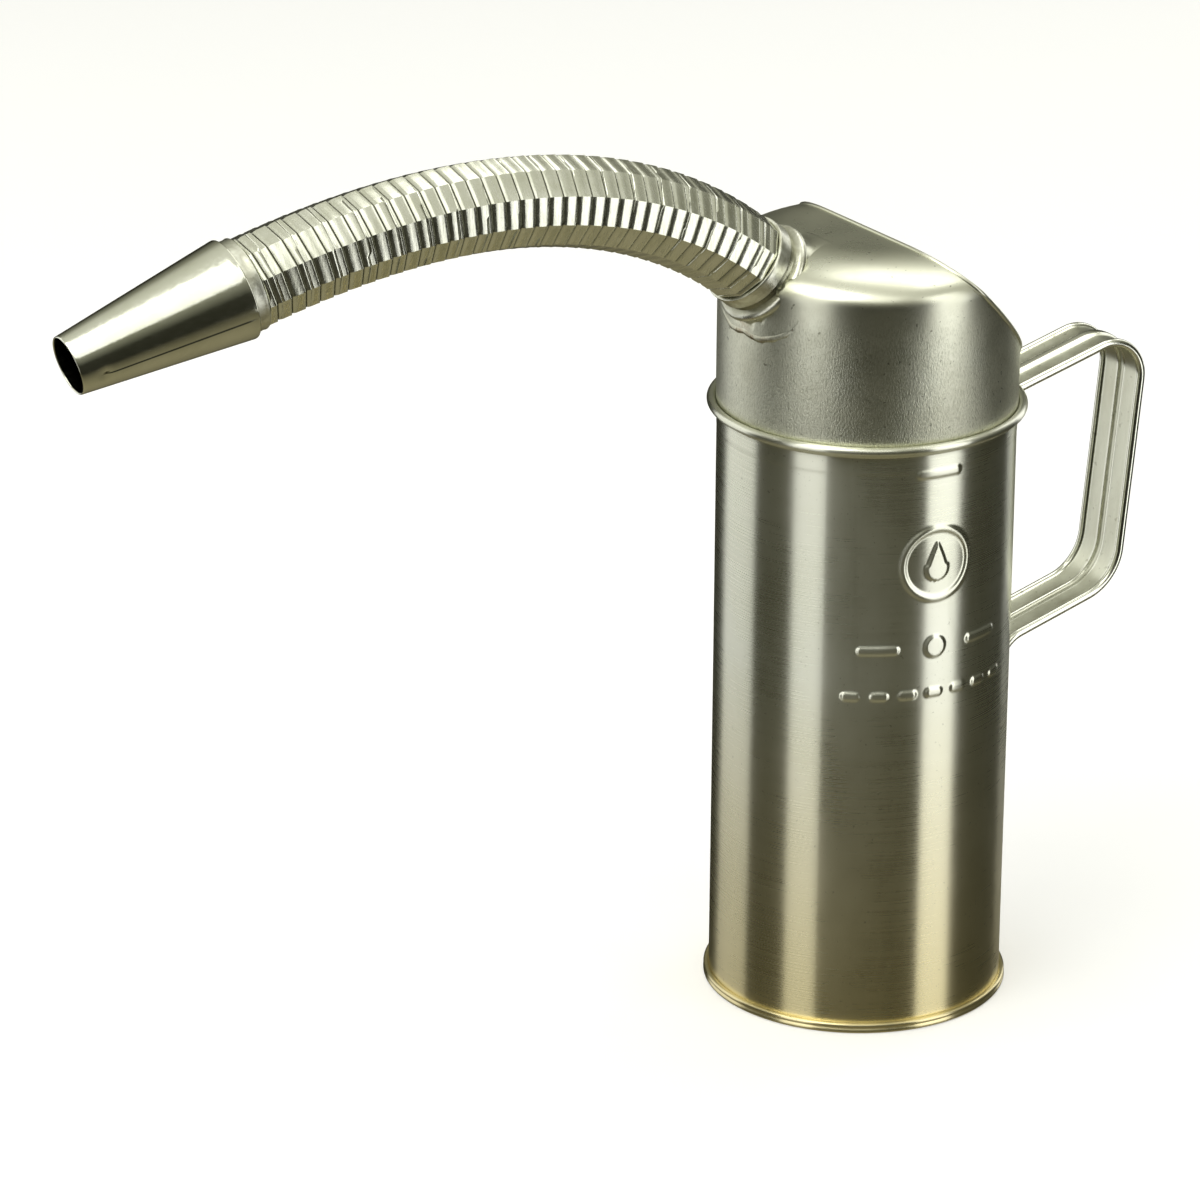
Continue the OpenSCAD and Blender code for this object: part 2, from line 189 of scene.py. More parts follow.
def lathe(name, profile, slot, origin=(0, 0, 0), direction=(0, 0, 1), steps=192, closed=True,
          sharp=40.0, wobble=None):
    """Turns an outline of (radius, height) points round an axis. wobble adds to the radius."""
    direction = unit(np.array(direction, float))
    if abs(direction[2]) > 0.999:
        side, up = np.array([1.0, 0, 0]), np.array([0, 1.0, 0])
    else:
        side, up = axes_for(direction)
    turns = np.radians(np.arange(steps) * 360.0 / steps)
    verts = []
    for r, h in profile:
        rr = np.full(steps, float(r))
        if wobble is not None:
            rr = rr + wobble(turns, r, h)
        ring = np.outer(rr * np.cos(turns), side) + np.outer(rr * np.sin(turns), up)
        verts.append(np.array(origin, float) + h * direction + ring)
    obj = make_object(
        name, np.vstack(verts), grid_faces(len(profile), steps, closed, True), slot, sharp)
    weld(obj)
    face_outwards(obj)
    return obj


def weld(obj):
    """Joins points that lie together, such as those of a ring of no radius."""
    bm = bmesh.new()
    bm.from_mesh(obj.data)
    bmesh.ops.remove_doubles(bm, verts=bm.verts, dist=WELD_M)
    bmesh.ops.dissolve_degenerate(bm, edges=bm.edges, dist=WELD_M)
    bm.to_mesh(obj.data)
    bm.free()


def arc(centre, r, start, end, steps):
    """Points (x, y) on a circle between two angles in degrees."""
    return [
        (centre[0] + r * math.cos(math.radians(a)), centre[1] + r * math.sin(math.radians(a)))
        for a in np.linspace(start, end, steps + 1)
    ]


def smooth(x):
    """A soft step: 0 up to x = 0, and 1 from x = 1."""
    x = np.clip(x, 0, 1)
    return x * x * (3 - 2 * x)


def waves(x, y, seed):
    """A gentle, repeatable unevenness between about -1 and 1."""
    rng = np.random.default_rng(seed)
    total = np.zeros(np.broadcast(x, y).shape)
    for _ in range(7):
        kx, ky = rng.uniform(-1, 1, 2)
        total = total + np.sin(kx * x + ky * y + rng.uniform(0, 6.28)) / 3.2
    return total


# ---- materials ----


class Maker:
    """Builds one procedural metal material."""

    def __init__(self, name):
        self.mat = bpy.data.materials.new(name)
        self.mat.use_nodes = True
        self.tree = self.mat.node_tree
        self.bsdf = self.tree.nodes["Principled BSDF"]
        self.bsdf.inputs["Metallic"].default_value = 1.0
        self.coords = self.tree.nodes.new("ShaderNodeTexCoord").outputs["Object"]
        self.height = None

    def link(self, out, socket):
        self.tree.links.new(out, socket)

    def stretched(self, scale):
        node = self.tree.nodes.new("ShaderNodeMapping")
        node.inputs["Scale"].default_value = scale
        self.link(self.coords, node.inputs["Vector"])
        return node.outputs["Vector"]

    def noise(self, scale, detail=4.0, rough=0.55, stretch=(1, 1, 1), distortion=0.0):
        node = self.tree.nodes.new("ShaderNodeTexNoise")
        node.inputs["Scale"].default_value = scale
        node.inputs["Detail"].default_value = detail
        node.inputs["Roughness"].default_value = rough
        node.inputs["Distortion"].default_value = distortion
        self.link(self.stretched(stretch), node.inputs["Vector"])
        return node.outputs["Fac"]

    def value(self, name):
        node = self.tree.nodes.new("ShaderNodeAttribute")
        node.attribute_name = name
        return node.outputs["Fac"]

    def height_z(self):
        node = self.tree.nodes.new("ShaderNodeSeparateXYZ")
        self.link(self.coords, node.inputs["Vector"])
        return node.outputs["Z"]

    def remap(self, source, low, high, to_low, to_high):
        node = self.tree.nodes.new("ShaderNodeMapRange")
        for key, number in zip(("From Min", "From Max", "To Min", "To Max"),
                               (low, high, to_low, to_high)):
            node.inputs[key].default_value = number
        self.link(source, node.inputs["Value"])
        return node.outputs["Result"]

    def maths(self, operation, a, b):
        node = self.tree.nodes.new("ShaderNodeMath")
        node.operation = operation
        for socket, item in zip(node.inputs, (a, b)):
            if isinstance(item, (int, float)):
                socket.default_value = item
            else:
                self.link(item, socket)
        return node.outputs["Value"]

    def mix(self, factor, a, b):
        node = self.tree.nodes.new("ShaderNodeMix")
        node.data_type = "RGBA"
        self.link(factor, node.inputs["Factor"])
        for key, item in (("A", a), ("B", b)):
            socket = [s for s in node.inputs if s.name == key and s.type == "RGBA"][0]
            if isinstance(item, tuple):
                socket.default_value = (*item, 1.0)
            else:
                self.link(item, socket)
        return [s for s in node.outputs if s.type == "RGBA"][0]

    def bump(self, source, strength, distance):
        node = self.tree.nodes.new("ShaderNodeBump")
        node.inputs["Strength"].default_value = strength
        node.inputs["Distance"].default_value = distance
        self.link(source, node.inputs["Height"])
        if self.height is not None:
            self.link(self.height, node.inputs["Normal"])
        self.height = node.outputs["Normal"]

    def brushed(self, amount):
        """Spreads highlights across the rolling lines, which run round the Z axis."""
        node = self.tree.nodes.new("ShaderNodeTangent")
        node.direction_type = "RADIAL"
        node.axis = "Z"
        self.bsdf.inputs["Anisotropic"].default_value = amount
        self.bsdf.inputs["Anisotropic Rotation"].default_value = 0.25
        self.link(node.outputs["Tangent"], self.bsdf.inputs["Tangent"])

    def done(self, colour, rough):
        self.link(colour, self.bsdf.inputs["Base Color"])
        self.link(rough, self.bsdf.inputs["Roughness"])
        if self.height is not None:
            self.link(self.height, self.bsdf.inputs["Normal"])
        return self.mat


TIN = (0.76, 0.77, 0.63)
TIN_PALE = (0.85, 0.86, 0.74)
TIN_DARK = (0.48, 0.49, 0.37)
# The next colour is no tint of the tin: it paints a warm reflection near the wall's bottom
PAINTED_WARM_REFLECTION = (0.80, 0.69, 0.36)
TIN_GREY = (0.66, 0.66, 0.52)
TIN_CLOUDY = (0.60, 0.60, 0.47)
TIN_SMEARED = (0.62, 0.62, 0.50)
SPECK = (0.2, 0.2, 0.14)
SPECK_PALE = (0.30, 0.29, 0.20)
PIT = (0.18, 0.18, 0.12)
RUST = (0.28, 0.15, 0.05)
NECK_SHADE = (0.27, 0.27, 0.17)
HOSE_SHADE = (0.07, 0.07, 0.04)
NOZZLE_SHADE = (0.10, 0.10, 0.06)
SOLDER_DARK, SOLDER_PALE = (0.42, 0.42, 0.34), (0.66, 0.66, 0.56)
STEEL_DARK, STEEL_PALE = (0.30, 0.30, 0.26), (0.48, 0.48, 0.42)


def scratches(m):
    """Fine short scratches and specks, as a number from 0 to 1."""
    long_noise = m.noise(60, 3, 0.6, (1, 1, 0.12), 1.2)
    return m.remap(long_noise, 0.60, 0.72, 0.0, 1.0)


def body_metal():
    m = Maker("tin_body")
    lines = m.noise(1, 3, 0.6, (30, 30, 3500))
    cloudy = m.noise(28, 5, 0.6, (1, 1, 0.6))
    specks = m.remap(m.noise(900, 2, 0.5), 0.68, 0.76, 0.0, 1.0)
    colour = m.mix(m.remap(cloudy, 0.35, 0.7, 0, 1), TIN, TIN_PALE)
    # Painted reflection: the wall turns warm towards its bottom, standing in for a warm surface mirrored there
    foot = m.remap(m.height_z(), 0.11, 0.004, 0.0, 0.85)
    colour = m.mix(foot, colour, PAINTED_WARM_REFLECTION)
    colour = m.mix(m.maths("MULTIPLY", scratches(m), 0.18), colour, TIN_DARK)
    colour = m.mix(m.maths("MULTIPLY", specks, 0.35), colour, SPECK)
    rough = m.remap(lines, 0.3, 0.7, 0.25, 0.30)
    rough = m.maths("ADD", rough, m.remap(cloudy, 0.4, 0.75, 0.0, 0.05))
    m.brushed(0.93)
    m.bump(lines, 0.08, 0.000006)
    m.bump(m.noise(14, 2, 0.5), 0.25, 0.0006)
    return m.done(colour, rough)


def hood_metal():
    m = Maker("tin_hood")
    grain = m.noise(1, 3, 0.65, (2300, 2300, 1100))
    fine = m.noise(1, 2, 0.5, (2600, 2600, 1500))
    height = m.height_z()
    wall = m.remap(height, (WALL_TOP_Z + 1) * MM, (WALL_TOP_Z - 9) * MM, 0.0, 1.0)
    coarse = m.remap(height, WALL_TOP_Z * MM, BEAD_Z * MM, 0.25, 1.0)
    cloudy = m.noise(40, 4, 0.6)
    pits = m.remap(m.noise(700, 1, 0.4), 0.72, 0.78, 0.0, 1.0)
    colour = m.mix(m.remap(cloudy, 0.35, 0.7, 0, 1), TIN, TIN_GREY)
    dark_grain = m.maths("MULTIPLY", m.remap(grain, 0.55, 0.35, 0.0, 0.6), wall)
    colour = m.mix(dark_grain, colour, TIN_DARK)
    colour = m.mix(m.maths("MULTIPLY", pits, 0.7), colour, PIT)
    rust = m.maths("MULTIPLY", m.value("rust"), m.remap(m.noise(420, 4, 0.7), 0.4, 0.6, 0, 1))
    colour = m.mix(rust, colour, RUST)
    rough = m.remap(cloudy, 0.3, 0.7, 0.24, 0.34)
    rough = m.maths("ADD", rough, m.maths("MULTIPLY", wall, 0.05))
    relief = m.maths("MULTIPLY", m.maths("MULTIPLY", grain, wall), coarse)
    m.bump(relief, 0.7, 0.00022)
    m.bump(fine, 0.15, 0.00003)
    m.bump(m.noise(20, 2, 0.5), 0.2, 0.0007)
    return m.done(colour, rough)


def neck_metal():
    m = Maker("tin_neck")
    smears = m.noise(260, 5, 0.65, (1, 1, 1), 0.6)
    cloudy = m.noise(90, 4, 0.6)
    colour = m.mix(m.remap(smears, 0.4, 0.62, 0, 1), TIN_SMEARED, TIN_PALE)
    colour = m.mix(m.value("groove"), colour, NECK_SHADE)
    rough = m.remap(cloudy, 0.3, 0.7, 0.24, 0.42)
    m.bump(smears, 0.35, 0.0003)
    return m.done(colour, rough)


def hose_metal():
    m = Maker("hose_strip")
    streaks = m.noise(1, 3, 0.6, (2200, 260, 260))
    cloudy = m.noise(120, 4, 0.6)
    colour = m.mix(m.remap(cloudy, 0.35, 0.65, 0, 1), TIN, TIN_PALE)
    colour = m.mix(m.remap(streaks, 0.5, 0.75, 0, 0.35), colour, TIN_DARK)
    colour = m.mix(m.value("groove"), colour, HOSE_SHADE)
    rough = m.remap(streaks, 0.3, 0.7, 0.16, 0.30)
    m.bump(streaks, 0.3, 0.00004)
    m.bump(m.noise(160, 2, 0.5), 0.2, 0.0002)
    return m.done(colour, rough)


def nozzle_metal():
    m = Maker("tin_nozzle")
    along = m.noise(1, 3, 0.6, (90, 1500, 1500))
    cloudy = m.noise(60, 4, 0.6)
    colour = m.mix(m.remap(cloudy, 0.35, 0.7, 0, 1), TIN, TIN_PALE)
    colour = m.mix(m.maths("MULTIPLY", scratches(m), 0.2), colour, TIN_DARK)
    colour = m.mix(m.value("groove"), colour, NOZZLE_SHADE)
    rough = m.remap(along, 0.3, 0.7, 0.08, 0.17)
    m.bump(along, 0.15, 0.00003)
    m.bump(m.noise(35, 2, 0.5), 0.2, 0.0004)
    return m.done(colour, rough)


def handle_metal():
    m = Maker("tin_handle")
    cloudy = m.noise(110, 5, 0.65, (1, 1, 0.35))
    fine = m.noise(1, 3, 0.6, (2000, 2000, 200))
    specks = m.remap(m.noise(600, 2, 0.5), 0.66, 0.76, 0.0, 0.6)
    colour = m.mix(m.remap(cloudy, 0.35, 0.65, 0, 1), TIN_CLOUDY, TIN)
    # Painted highlight: the rolled edges and the rib's crest are made paler where light catches them; the lower
    # roughness below is their smoother finish
    colour = m.mix(m.value("edge"), colour, TIN_PALE)
    colour = m.mix(specks, colour, SPECK_PALE)
    dull = m.remap(m.value("edge"), 0.0, 1.0, 0.30, 0.13)
    rough = m.maths("ADD", dull, m.remap(cloudy, 0.35, 0.7, 0.0, 0.08))
    m.bump(fine, 0.15, 0.00003)
    m.bump(cloudy, 0.2, 0.0002)
    return m.done(colour, rough)


def solder_metal():
    m = Maker("solder")
    lumps = m.noise(320, 4, 0.6)
    colour = m.mix(m.remap(lumps, 0.35, 0.65, 0, 1), SOLDER_DARK, SOLDER_PALE)
    m.bump(lumps, 0.5, 0.0004)
    return m.done(colour, m.remap(lumps, 0.3, 0.7, 0.34, 0.5))


def wire_metal():
    m = Maker("steel_wire")
    fine = m.noise(500, 4, 0.6)
    colour = m.mix(fine, STEEL_DARK, STEEL_PALE)
    return m.done(colour, m.remap(fine, 0.3, 0.7, 0.3, 0.5))


METALS = {
    "tin_body": body_metal(),
    "tin_hood": hood_metal(),
    "tin_neck": neck_metal(),
    "hose_strip": hose_metal(),
    "tin_nozzle": nozzle_metal(),
    "tin_handle": handle_metal(),
    "solder": solder_metal(),
    "steel_wire": wire_metal(),
}
METALS["tin_base"] = METALS["tin_body"]


def finish_piece(obj, body, *replaced):
    """Gives a piece its slot's metal, its body and the nodes that it stands for."""
    obj.data.materials.clear()
    obj.data.materials.append(METALS[obj["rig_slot"]])
    if body:
        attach(obj, body)
    if replaced:
        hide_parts(*replaced)


# ---- body ----


def pill_distance(x, y, w, h):
    """Distance inside a bar with round ends; negative inside."""
    half = (w - h) / 2
    return np.hypot(x - np.clip(x, -half, half), y) - h / 2


def drop_distance(x, y, r, tip):
    """Roughly the distance to a drop: a circle with a tip above it."""
    width = r * np.sqrt(np.clip(1 - (y / r) ** 2, 0, 1))
    upper = r * 0.92 * np.clip((tip - y) / tip, 0, 1) ** 0.85
    body = np.where(y < r * 0.35, width, np.minimum(upper, width + 10))
    inside = (y > -r) & (y < tip)
    return np.where(inside, np.abs(x) - body, np.hypot(x, np.minimum(y + r, 0)) + 0.4)


def mark_relief(arc_x, z):
    """The embossing's share of its height, at an arc length from the marks' middle and a z."""
    near = pill_distance(arc_x, z - FILL_BAR_Z, 13.7, 2.2)
    ring = np.abs(np.hypot(arc_x, z - RING_Z) - 10.5) - 0.85
    near = np.minimum(near, ring)
    near = np.minimum(near, drop_distance(arc_x, z - DROP_Z, 3.6, 8.0))
    for side in (-1, 1):
        near = np.minimum(near, pill_distance(arc_x - side * 17, z - DASH_Z, 12, 2.4))
    near = np.minimum(near, np.hypot(arc_x, z - DASH_Z) - 3.2)
    for i in range(7):
        bar_x = arc_x - (i - 3) * BAR_STEP
        near = np.minimum(near, pill_distance(bar_x, z - BARS_Z, 5.2, 2.4))
    return smooth(0.5 - near / 1.1)


def angle_list():
    """Directions round the wall, close together where the marks are."""
    half = math.degrees(MARKS_HALF_W / CAN_R)
    fine = np.linspace(MARK_ANGLE - half, MARK_ANGLE + half, 190)
    rest = np.linspace(MARK_ANGLE + half, MARK_ANGLE + 360 - half, 170)[1:-1]
    return np.radians(np.concatenate([fine, rest]))


def wall_heights():
    """Heights of the wall's rows, close together where the marks are."""
    low = np.linspace(1.0, MARKS_LOW_Z, 30)
    marks = np.linspace(MARKS_LOW_Z, MARKS_HIGH_Z, 190)[1:]
    top = np.array([176.0, CAN_TOP_Z - 1.0])
    return np.concatenate([low, marks, top])


def body_wall():
    """The wall with its embossed marks, and the bead that holds the rim wire, as one sheet."""
    turns = angle_list()
    cos_t, sin_t = np.cos(turns), np.sin(turns)
    arc_x = (np.degrees(turns) - MARK_ANGLE) % 360
    arc_x = np.radians(np.where(arc_x > 180, arc_x - 360, arc_x)) * CAN_R
    rows = []

    def row(r, z, lift=0.0):
        rr = r + lift
        rows.append(np.stack([rr * cos_t, rr * sin_t, np.full(len(turns), z)], 1))

    heights = wall_heights()
    for z in heights:
        dents = 0.035 * waves(arc_x / 9, np.full(len(turns), z / 30), 5)
        step = 0.07 * smooth((z - 171.5) / 1.2)
        lift = EMBOSS * mark_relief(arc_x, z) + dents * smooth((172 - z) / 20) + step
        row(CAN_R, z, lift)
    row(CAN_R + 0.12, CAN_TOP_Z - 0.7)
    row(RIM_IN_R + SHEET, CAN_TOP_Z)
    centre = (RIM_IN_R + BEAD_R, BEAD_Z)
    for r, z in arc(centre, BEAD_R, -142, 180, 22):
        row(r, z)
    row(RIM_IN_R, HOOD_FOOT_Z + 0.2)
    row(RIM_IN_R, CAN_TOP_Z + 0.2)
    row(CAN_R - SHEET, CAN_TOP_Z - 0.8)
    for z in np.concatenate([heights[::-1], [0.7]]):
        row(CAN_R - SHEET, min(z, CAN_TOP_Z - 1.2), EMBOSS * mark_relief(arc_x, z))
    row(CAN_R, 0.7)
    obj = make_object(
        "can_wall", np.vstack(rows), grid_faces(len(rows), len(turns), True, True), "tin_body")
    face_outwards(obj)
    finish_piece(obj, "can", "body_shell")


def side_seam():
    """The lapped and soldered seam up the back of the body."""
    middle = math.radians(SEAM_ANGLE)
    half = 2.25 / CAN_R
    rows, cols = 60, 13
    verts = []
    heights = np.linspace(4.2, CAN_TOP_Z - 2.2, rows)
    across = np.linspace(-1, 1, cols)
    for z in heights:
        lift = 0.33 * np.clip(1.0 - np.abs(across) ** 6, 0, 1) - 0.12
        lift = lift + 0.03 * waves(across * 3, z / 2.5, 9)
        r = CAN_R + lift
        a = middle + across * half * (1 + 0.02 * math.sin(z / 3.1))
        verts.append(np.stack([r * np.cos(a), r * np.sin(a), np.full(cols, z)], 1))
    obj = make_object("side_seam", np.vstack(verts), grid_faces(rows, cols), "tin_body")
    thicken(obj, 0.2)
    finish_piece(obj, "can")


def thicken(obj, thickness):
    """Gives a surface its sheet's thickness, inwards."""
    modifier = obj.modifiers.new("sheet", "SOLIDIFY")
    modifier.thickness = thickness * MM
    modifier.offset = -1.0


def base():
    """The base plate with its folded seam: a lower curl, a fine line and an upper curl."""
    out, wall = BASE_SEAM_R, CAN_R
    profile = [(0, 3.1), (wall - 8, 3.1), (wall - 6.5, 2.5), (wall - 2.2, 2.5),
               (wall - 1.1, 2.1), (wall - 1.1, 0.5)]
    profile += arc((wall - 0.6, 0.5), 0.5, 180, 270, 5)
    profile += arc((out - 0.85, 0.85), 0.85, -90, 40, 9)
    profile += [(out - 0.28, 1.62)]
    profile += arc((out - 0.72, 2.28), 0.68, -38, 90, 8)
    profile += [(wall + 0.25, 2.98), (wall, 2.8), (wall, 0.7), (wall - SHEET, 0.7)]
    profile += [(wall - SHEET, 3.0), (wall - 6.2, 3.0), (wall - 7.8, 3.6), (0, 3.6)]

    def uneven(turns, r, h):
        return 0.05 * waves(turns * 9, h, 3) if r > wall - 2 else 0.0

    obj = lathe("base_plate", profile, "tin_base", closed=False, wobble=uneven)
    finish_piece(obj, "can", "base_disc")


# ---- hood ----


def crown_point(share):
    """A point (radius, height) on the hood's section: 0 at the foot, 1 at the top's middle."""
    a = math.radians(90 * share)
    return (HOOD_R - SHOULDER_W + SHOULDER_W * math.cos(a), WALL_TOP_Z + CROWN_H * math.sin(a))


def cut_depth(x, z):
    """How far a point lies below the filling opening's sloping plane."""
    a = math.radians(CUT_ANGLE)
    return -((x - CUT_X) * math.sin(a) + (z - HOOD_TOP_Z) * math.cos(a))


def hood_height(x, y):
    """Height of the hood's outside above a point, or the draw line's height outside its wall."""
    r = np.hypot(x, y)
    q = np.clip((r - (HOOD_R - SHOULDER_W)) / SHOULDER_W, 0, 1)
    return WALL_TOP_Z + CROWN_H * np.sqrt(1 - q * q)


NECK_DIR = np.array([-math.cos(math.radians(NECK_TILT)), 0, math.sin(math.radians(NECK_TILT))])
NECK_SIDE, NECK_UP = axes_for(NECK_DIR)


def neck_point(r, turn, t):
    """A point at a radius, a turn from the side towards up, and a height along the neck."""
    return MOUTH + t * NECK_DIR + r * (math.cos(turn) * NECK_SIDE + math.sin(turn) * NECK_UP)


def hood_outside(p):
    """How far a point stands outside the hood's filled shape; negative inside."""
    r = math.hypot(p[0], p[1])
    if p[2] <= WALL_TOP_Z:
        return r - HOOD_R
    flat = HOOD_R - SHOULDER_W
    if r <= flat:
        return p[2] - HOOD_TOP_Z
    across, rise = r - flat, p[2] - WALL_TOP_Z
    q = math.hypot(across / SHOULDER_W, rise / CROWN_H)
    gradient = math.hypot(across / SHOULDER_W ** 2, rise / CROWN_H ** 2) / max(q, 1e-6)
    return (q - 1) / max(gradient, 1e-6)


def hood_hit(r, turn):
    """Where a line along the neck at a radius and a turn meets the hood, as a height t."""
    low, high = -60.0, 12.0
    for _ in range(50):
        mid = (low + high) / 2
        if hood_outside(neck_point(r, turn, mid)) < 0:
            low = mid
        else:
            high = mid
    return (low + high) / 2


def hood():
    """The drawn hood: wall, round shoulder and flat top, cut off slantwise behind."""
    steps = 256
    turns = np.radians(np.arange(steps) * 360.0 / steps)
    outline = [(HOOD_R, z) for z in np.linspace(HOOD_FOOT_Z, WALL_TOP_Z - 1, 16)]
    outline += [crown_point(s) for s in np.linspace(0, 1, 25)]
    outline += [(r, HOOD_TOP_Z) for r in np.linspace(HOOD_R - SHOULDER_W - 2, 0.4, 12)]
    verts = []
    for r, z in outline:
        dents = 0.05 * waves(turns * 4, np.full(steps, z / 14), 21) * smooth((z - BEAD_Z - 6) / 12)
        rr = r + dents
        verts.append(np.stack([rr * np.cos(turns), rr * np.sin(turns), np.full(steps, z)], 1))
    faces = grid_faces(len(outline), steps, False, True)
    last = (len(outline) - 1) * steps
    faces.append(tuple(last + j for j in range(steps)))
    obj = make_object("hood", np.vstack(verts), faces, "tin_hood", None)
    bm = bmesh.new()
    bm.from_mesh(obj.data)
    a = math.radians(CUT_ANGLE)
    slope = Vector((math.sin(a), 0, math.cos(a)))
    at = Vector((CUT_X, 0, HOOD_TOP_Z)) * MM
    everything = list(bm.verts) + list(bm.edges) + list(bm.faces)
    bmesh.ops.bisect_plane(bm, geom=everything, plane_co=at, plane_no=slope, clear_outer=True)
    # The hole for the neck: faces whose middle lies within the neck's bore
    axis, mouth = Vector(NECK_DIR), Vector(MOUTH) * MM
    inside = []
    for f in bm.faces:
        rel = f.calc_center_median() - mouth
        along = rel.dot(axis)
        if (rel - along * axis).length < (NECK_R + 0.5) * MM and along > -0.03:
            inside.append(f)
    bmesh.ops.delete(bm, geom=inside, context="FACES")
    bmesh.ops.recalc_face_normals(bm, faces=bm.faces)
    top = min(bm.faces, key=lambda f: abs(f.calc_center_median().z - WALL_TOP_Z * MM))
    if top.normal.xy.dot(top.calc_center_median().xy) < 0:
        bmesh.ops.reverse_faces(bm, faces=bm.faces)
    bm.to_mesh(obj.data)
    bm.free()
    obj.data.set_sharp_from_angle(angle=math.radians(50))
    co = np.array([v.co for v in obj.data.vertices]) / MM
    near = np.linalg.norm(co - neck_point(16, -math.pi / 2, -10), axis=1)
    point_value(obj, "rust", 0.9 * smooth(1 - near / 6.5))
    thicken(obj, SHEET)
    finish_piece(obj, "can", "hood_shell")


def hem_curve():
    """Points along the filling opening's edge, on the hood's outside: a closed loop."""
    steps = 1440
    a = math.radians(CUT_ANGLE)
    points = []
    for turn in np.linspace(-math.pi, math.pi, steps + 1):
        c, s = math.cos(turn), math.sin(turn)
        low, high = 0.0, HOOD_R
        # The middle is cut away; outwards from it the crown may dip below the sloping plane
        for _ in range(50):
            mid = (low + high) / 2
            crown = hood_height(mid * c, mid * s)
            if cut_depth(mid * c, crown) < 0:
                low = mid
            else:
                high = mid
        r = (low + high) / 2
        z = hood_height(r * c, r * s)
        if r > HOOD_R - 0.01:
            r = HOOD_R
            z = HOOD_TOP_Z - (r * c - CUT_X) * math.tan(a)
        points.append(np.array([r * c, r * s, z]))
    return points


def hem():
    """The folded edge round the filling opening: a flattened roll outside the hood."""
    a = math.radians(CUT_ANGLE)
    slope = np.array([math.sin(a), 0, math.cos(a)])
    points = resample(hem_curve(), 361)[:-1]
    section = arc((0.55, 0.0), 0.62, 180, -90, 8) + [(1.9, -0.30), (1.95, -0.02)]
    verts = []
    for i, p in enumerate(points):
        before, after = points[i - 1], points[(i + 1) % len(points)]
        along = unit(after - before)
        out = outward(p)
        out = unit(out - out @ along * along)
        down = unit(np.cross(along, out))
        if down @ slope > 0:
            down = -down
        for x, y in section:
            verts.append(p + (y * 0.75 + 0.02) * out + x * down - 0.35 * down)
    faces = grid_faces(len(points), len(section), True, True)
    obj = make_object("hood_hem", verts, faces, "tin_hood")
    face_outwards(obj)
    finish_piece(obj, "can")


def outward(p):
    """The hood's outward normal near a point."""
    h = 0.01
    base_value = hood_outside(p)
    steps = [hood_outside(p + h * e) - base_value for e in np.eye(3)]
    return unit(np.array(steps) + 1e-9)


def resample(points, count):
    """The same line with a number of evenly spaced points."""
    points = np.array(points)
    lengths = np.concatenate([[0], np.cumsum(np.linalg.norm(np.diff(points, axis=0), axis=1))])
    at = np.linspace(0, lengths[-1], count)
    return np.stack([np.interp(at, lengths, points[:, i]) for i in range(3)], 1)


# ---- neck ----


def neck_flare():
    """The smooth flare between the neck's bead and the hood, with a solder bead along its foot."""
    steps, rows = 160, 18
    foot_t = NECK_BEAD_AT - NECK_BEAD_HALF + 0.3
    verts, rust = [], []
    for j in range(steps):
        turn = 2 * math.pi * j / steps
        down = max(0.0, -math.sin(turn))
        up = max(0.0, math.sin(turn))
        reach = 17.4 + 5.0 * abs(math.cos(turn)) ** 1.5 + 1.6 * up
        reach += 0.18 * math.sin(9 * turn) * down
        start = neck_point(NECK_BEAD_R - 1.4, turn, foot_t)
        end = neck_point(reach, turn, hood_hit(reach, turn))
        # The flare leaves the hood along its surface, towards the neck
        inner = neck_point(reach - 2.0, turn, hood_hit(reach - 2.0, turn))
        along = unit(inner - end)
        span = np.linalg.norm(start - end)
        mid_a = start - NECK_DIR * min(0.55 * span, 5.0)
        mid_b = end + along * 0.45 * span
        normal = outward(end)
        for i in range(rows):
            s = i / (rows - 1)
            p = ((1 - s) ** 3 * start + 3 * (1 - s) ** 2 * s * mid_a
                 + 3 * (1 - s) * s * s * mid_b + s ** 3 * end)
            bead = 0.35 * down * math.exp(-((s - 0.86) / 0.08) ** 2)
            lumps = 0.05 * down * math.sin(23 * turn + 9 * s)
            sunk = 0.06 - 0.4 * smooth((s - 0.86) / 0.14) * (1 - 0.75 * down)
            verts.append(p + normal * (sunk + bead + lumps * s))
            rust.append(0.8 * down ** 6 * smooth((s - 0.72) / 0.2))
    faces = grid_faces(steps, rows, True, False)
    obj = make_object("neck_flare", verts, faces, "tin_hood", 60)
    face_outwards(obj)
    if obj.data.polygons[0].normal @ Vector(outward(verts[0])) < 0:
        obj.data.flip_normals()
    point_value(obj, "rust", rust)
    thicken(obj, 0.3)
    finish_piece(obj, "can", "neck_solder")


